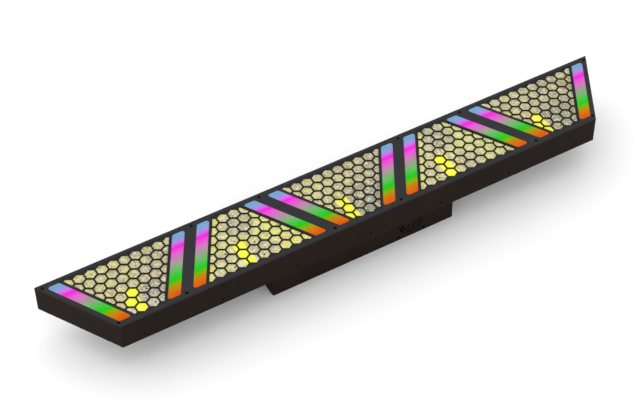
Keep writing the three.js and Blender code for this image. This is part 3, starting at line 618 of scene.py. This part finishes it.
def flush_screw(name, place, r=0.0029):
    """Countersunk head, just under the surface, with a hexagon socket and a shank."""
    bm = bmesh.new()
    prof = [
        (0, -0.0045, "c"), (0.00135, -0.0045, "c"), (0.00135, -0.0016, "c"), (r, -0.00035, "c"), (r, -0.0001, "c"),
        (r * 0.93, -0.00002, "c"), (r * 0.5, -0.00002, "h"), (r * 0.46, -0.0011, "h"), (0, -0.0012, "c"),
    ]
    spun(bm, prof, 24, place)
    return finish_mesh(name, bm, screw_black)


for i in range(7):
    x = (i - 3) * 0.139
    flush_screw("side_screw_front_%d" % (i + 1), at(x, -HALF_W, Z_SIDE, "-y"))
    flush_screw("side_screw_back_%d" % (i + 1), at(x, HALF_W, Z_SIDE, "+y"))

k = 0
for a in (-1, 1):
    for b in (-1, 1):
        k += 1
        button_screw("fan_screw_%d" % k, at(FAN_X + a * 0.025, -BOX_Y - 0.00005, FAN_Z + b * 0.025, "-y"), 0.0031, 0.0015)

# sockets: flange screws, contacts, locking rings
for name in ("power_inlet", "power_outlet", "data_inlet", "data_outlet"):
    lo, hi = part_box(name)
    cx, cz, y1 = (lo[0] + hi[0]) / 2, (lo[2] + hi[2]) / 2, hi[1]
    for j, (a, b) in enumerate(((-1, 1), (1, -1))):
        button_screw("%s_screw_%d" % (name, j + 1), at(cx + a * 0.0098, y1, cz + b * 0.0123, "+y"), 0.0021, 0.0009, nickel)
    power = name.startswith("power")
    inlet = name.endswith("inlet")
    # ring lining the mouth
    r_in = {(True, True): 0.0102, (True, False): 0.0104, (False, True): 0.0086, (False, False): 0.0096}[(power, inlet)]
    bm = bmesh.new()
    w = 0.0011
    prof = [
        (r_in - 0.0004, -0.0030, "c"), (r_in - 0.0004, 0.0001, "c"), (r_in, 0.0007, "c"), (r_in + w, 0.0008, "c"),
        (r_in + w + 0.0003, 0.0004, "c"), (r_in + w + 0.0003, 0.00002, "c"), (r_in + 0.0002, 0.00002, "c"), (r_in - 0.0001, -0.0030, "c"),
    ]
    spun(bm, prof + prof[:1], 40, at(cx, y1, cz, "+y"))
    bmesh.ops.remove_doubles(bm, verts=bm.verts, dist=1e-7)
    mat = (lock_blue if inlet else lock_grey) if power else nickel
    finish_mesh(name + "_ring", bm, mat)
    if not power and inlet:
        for j, d in enumerate((90, 210, 330)):
            bm = bmesh.new()
            px = cx + 0.0046 * math.cos(math.radians(d))
            pz = cz + 0.0046 * math.sin(math.radians(d))
            prof = [(0.00134, -0.0072, "c"), (0.00134, -0.0012, "c"), (0.0011, -0.0004, "c"), (0.0006, -0.00008, "c"), (0, 0, "c")]
            spun(bm, [(0, -0.0072, "c")] + prof, 20, at(px, BOX_Y - 0.0062, pz, "+y"))
            finish_mesh("data_inlet_contact_%d" % (j + 1), bm, brass)
    if not power and not inlet:
        bm = bmesh.new()
        # release tab over the mouth
        pts = [(-0.0042, 0.0), (0.0042, 0.0), (0.0042, 0.0022), (0.003, 0.0034), (-0.003, 0.0034), (-0.0042, 0.0022)]
        for y in (y1, y1 + 0.0016):
            for px, pz in pts:
                bm.verts.new((cx + px, y, cz + 0.0114 + pz))
        bm.verts.ensure_lookup_table()
        bm.faces.new(bm.verts[0:6])
        bm.faces.new(bm.verts[6:12])
        for q in range(6):
            bm.faces.new((bm.verts[q], bm.verts[(q + 1) % 6], bm.verts[6 + (q + 1) % 6], bm.verts[6 + q]))
        bmesh.ops.bevel(bm, geom=bm.edges[:], offset=0.0003, segments=2, affect="EDGES")
        finish_mesh("data_outlet_tab", bm, nickel)

# display bezel: a thin raised frame round the window
lo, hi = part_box("display_window")
bm = bmesh.new()


def rounded_loop(x0, x1, z0, z1, r, y, n=5):
    pts = []
    for cx, cz, a0 in ((x1 - r, z1 - r, 0), (x0 + r, z1 - r, 90), (x0 + r, z0 + r, 180), (x1 - r, z0 + r, 270)):
        for i in range(n + 1):
            a = math.radians(a0 + 90 * i / n)
            pts.append(bm.verts.new((cx + r * math.cos(a), y, cz + r * math.sin(a))))
    return pts


y = BOX_Y
loops = [
    rounded_loop(lo[0] - 0.0026, hi[0] + 0.0026, lo[2] - 0.0026, hi[2] + 0.0026, 0.003, y + 0.00003),
    rounded_loop(lo[0] - 0.0026, hi[0] + 0.0026, lo[2] - 0.0026, hi[2] + 0.0026, 0.003, y + 0.0007),
    rounded_loop(lo[0] - 0.0021, hi[0] + 0.0021, lo[2] - 0.0021, hi[2] + 0.0021, 0.0026, y + 0.0011),
    rounded_loop(lo[0] + 0.0004, hi[0] - 0.0004, lo[2] + 0.0004, hi[2] - 0.0004, 0.0012, y + 0.0011),
    rounded_loop(lo[0] + 0.0008, hi[0] - 0.0008, lo[2] + 0.0008, hi[2] - 0.0008, 0.001, y + 0.00045),
]
loops.append(loops[0])
for la, lb in zip(loops, loops[1:]):
    m = len(la)
    for i in range(m):
        bm.faces.new((la[i], la[(i + 1) % m], lb[(i + 1) % m], lb[i]))
finish_mesh("display_bezel", bm, socket_black)

# button collars and three status lights
for i in range(4):
    lo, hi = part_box("menu_button_%d" % (i + 1))
    bx, bz = (lo[0] + hi[0]) / 2, (lo[2] + hi[2]) / 2
    bm = bmesh.new()
    prof = [(0.0036, -0.0008, "c"), (0.0036, 0.0005, "c"), (0.004, 0.0008, "c"), (0.0048, 0.0006, "c"), (0.0051, 0.00003, "c"), (0.0037, 0.00003, "c"), (0.0036, -0.0008, "c")]
    spun(bm, prof, 28, at(bx, BOX_Y, bz, "+y"))
    bmesh.ops.remove_doubles(bm, verts=bm.verts, dist=1e-7)
    finish_mesh("button_collar_%d" % (i + 1), bm, socket_black)
for i, c in enumerate(((0.9, 0.06, 0.03), (0.05, 0.8, 0.12), (0.9, 0.5, 0.04))):
    n = Nodes("status_light_%d" % (i + 1))
    mat = n.set(
        Base_Color=n.mix(n.noise(900, 2), tuple(v * 0.5 for v in c), c),
        Emission_Color=c,
        Emission_Strength=0.35,
        Roughness=n.step(n.noise(600), 0.3, 0.7, 0.12, 0.22),
    )
    bm = bmesh.new()
    prof = [(0, -0.0005, "c"), (0.0015, -0.0005, "c")]
    for j in range(0, 6):
        a = j / 6 * math.pi / 2
        prof.append((0.0015 * math.cos(a), 0.0013 * math.sin(a), "c"))
    prof.append((0, 0.0013, "c"))
    spun(bm, prof, 20, at(0.020 + 0.010 * i, BOX_Y, 0.037, "+y"))
    finish_mesh("status_light_%d" % (i + 1), bm, mat)

# thread form in the two rigging inserts
for side in ("left", "right"):
    lo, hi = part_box("rigging_insert_" + side)
    cx = (lo[0] + hi[0]) / 2
    bm = bmesh.new()
    prof = []
    turns = 10
    for i in range(turns):
        z = lo[2] + 0.0007 + i * 0.0015
        prof += [(0.00426, z, "c"), (0.00408, z + 0.00045, "c"), (0.00408, z + 0.0006, "c"), (0.00426, z + 0.00105, "c")]
    prof += [(0.00429, hi[2] - 0.0004, "c"), (0.00429, lo[2] + 0.0006, "c"), prof[0]]
    spun(bm, prof, 24, Matrix.Translation((cx, 0, 0)))
    bmesh.ops.remove_doubles(bm, verts=bm.verts, dist=1e-7)
    finish_mesh("insert_thread_" + side, bm, insert)

# rear cover fixings, seen from below
k = 0
for x, y in [(-0.47, -0.045), (-0.47, 0.045), (-0.33, -0.055), (-0.33, 0.055), (-0.2, -0.055), (-0.2, 0.055)]:
    for s in (-1, 1):
        k += 1
        flush_screw("cover_screw_%02d" % k, at(s * x, y, Z_TRAY, "-z"))

# pleated dust filter against the inside of the back wall, over the three exhaust slots; its black sheet also stands in
# for the shade inside the box, so the slots read dark
filter_foam = moulded("filter_foam", (0.012, 0.012, 0.0115), 0.85, 1400, 0.6, spec=0.05)
bm = bmesh.new()
rows = []
for i in range(29):
    px = 0.0735 + i * 0.00075
    back = BOX_Y - 0.0015 - (0.0010 if i % 2 else 0.0)
    rows.append([bm.verts.new(v) for v in ((px, back, 0.0120), (px, back, 0.0470), (px, back - 0.0007, 0.0470), (px, back - 0.0007, 0.0120))])
for ra, rb in zip(rows, rows[1:]):
    for j in range(4):
        bm.faces.new((ra[j], rb[j], rb[(j + 1) % 4], ra[(j + 1) % 4]))
bm.faces.new(rows[0])
bm.faces.new(rows[-1][::-1])
finish_mesh("exhaust_filter", bm, filter_foam, smooth=False)

# fan: a hub cap gives the rotor its boss
lo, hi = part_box("fan_rotor")
bm = bmesh.new()
yf = lo[1]
prof = [(0, 0.0002, "c"), (0.0046, 0.0002, "c"), (0.0050, 0.0005, "c"), (0.0098, 0.0005, "c"), (0.0104, 0.0002, "c"), (0.0106, -0.0001, "c"), (0, -0.0001, "c")]
spun(bm, prof, 40, at(FAN_X, yf, FAN_Z, "-y"))
finish_mesh("fan_hub_cap", bm, fan_black, "fan_rotor")

# ------------------------------------------------------------------ floor, light, camera
n = Nodes("studio_floor")
tone = n.step(n.noise(2.0, 4, 0.6), 0.3, 0.7)
floor_mat = n.set(
    Base_Color=n.mix(tone, (0.925, 0.925, 0.925), (0.945, 0.945, 0.945)),
    Roughness=n.step(n.noise(12, 3), 0.3, 0.7, 0.62, 0.72),
    Normal=n.bump(n.noise(60, 3), 0.02, 0.001),
)
bm = bmesh.new()
bmesh.ops.create_grid(bm, x_segments=8, y_segments=8, size=9.0)
me = bpy.data.meshes.new("studio_floor")
bm.to_mesh(me)
bm.free()
me.materials.append(floor_mat)
floor = bpy.data.objects.new("studio_floor", me)
bpy.context.scene.collection.objects.link(floor)
floor.location.z = -0.0002

world = bpy.data.worlds.new("studio")
bpy.context.scene.world = world
world.use_nodes = True
world.node_tree.nodes["Background"].inputs[0].default_value = (1.0, 1.0, 1.0, 1)
world.node_tree.nodes["Background"].inputs[1].default_value = 1.06


def area(name, loc, target, size, power, colour=(1, 1, 1)):
    li = bpy.data.lights.new(name, "AREA")
    li.shape = "RECTANGLE"
    li.size, li.size_y = size
    li.energy = power
    li.color = colour
    ob = bpy.data.objects.new(name, li)
    bpy.context.scene.collection.objects.link(ob)
    ob.location = loc
    ob.rotation_euler = (Vector(target) - Vector(loc)).to_track_quat("-Z", "Y").to_euler()


area("key_light", (-0.6, 0.9, 3.2), (0, 0, 0), (3.6, 3.2), 20)
area("fill_light", (-2.4, -2.2, 2.0), (0, 0, 0.0), (2.8, 2.2), 9)

cam = bpy.data.cameras.new("camera")
cam.sensor_width = 36.0
cam.lens = 99.286
cam.clip_end = 60
cam.dof.use_dof = False
camera = bpy.data.objects.new("camera", cam)
bpy.context.scene.collection.objects.link(camera)
right = Vector((0.86271, -0.50561, -0.00968))
up = Vector((0.36998, 0.61801, 0.69367))
fwd = Vector((0.34474, 0.60201, -0.72023))
rot = Matrix((right, up, -fwd)).transposed().to_4x4()
camera.matrix_world = Matrix.Translation((-1.06255, -1.75883, 2.10985 + Z_TOP)) @ rot
bpy.context.scene.camera = camera
bpy.context.scene.view_settings.view_transform = "Standard"
bpy.context.scene.view_settings.look = "None"
